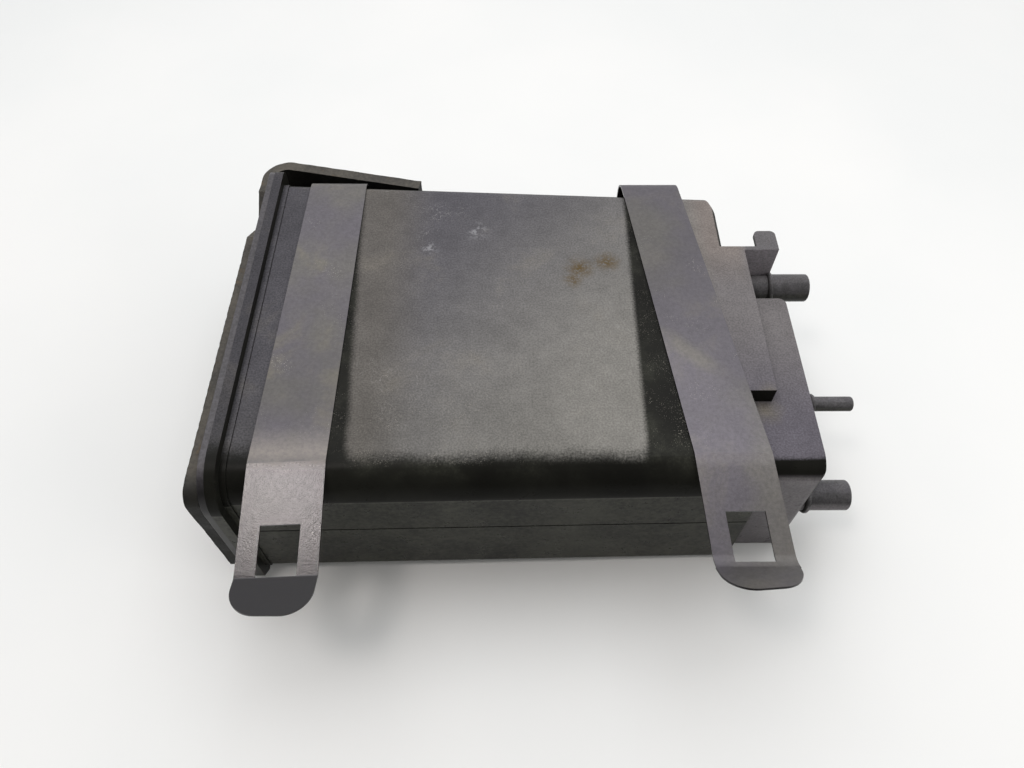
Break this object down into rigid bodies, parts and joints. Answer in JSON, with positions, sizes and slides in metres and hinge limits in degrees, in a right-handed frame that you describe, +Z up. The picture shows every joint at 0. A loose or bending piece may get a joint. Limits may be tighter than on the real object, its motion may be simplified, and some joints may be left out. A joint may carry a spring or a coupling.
{
  "type": "charcoal canister",
  "caption": "Flat drafted box of activated carbon for a fuel system, with a welded end cover, hose spigots, loose folded hold-down straps and a wrapped rubber buffer mat.",
  "frame": {"origin": "middle of the outline, on the plane that the canister stands on", "axes": "+X towards the hose spigots, +Y towards the back wall, +Z up out of the flat top"},
  "size_m": [0.3296, 0.2759, 0.1037],
  "materials": {
    "housing_plastic": "satin black moulding, dusty",
    "cover_plastic": "satin black moulding",
    "mat_rubber": "rough, stained",
    "strap_steel": "dull grey coat, dusty",
    "carbon": "charred granules",
    "pad_felt": "felt",
    "retainer_plastic": "satin",
    "spring_steel": "drawn wire"
  },
  "bodies": {
    "root": {"housing": "housing_plastic", "end_cover": "cover_plastic", "buffer_mat": "mat_rubber", "left_strap": "strap_steel", "right_strap": "strap_steel", "main_carbon": "carbon", "vent_carbon": "carbon", "tank_pad": "pad_felt", "purge_pad": "pad_felt", "vent_pad": "pad_felt", "main_cover_pad": "pad_felt", "vent_cover_pad": "pad_felt", "main_retainer": "retainer_plastic", "vent_retainer": "retainer_plastic", "main_spring_1": "spring_steel", "main_spring_2": "spring_steel", "main_spring_3": "spring_steel", "main_spring_4": "spring_steel", "vent_spring_1": "spring_steel", "vent_spring_2": "spring_steel"}
  },
  "joints": []
}
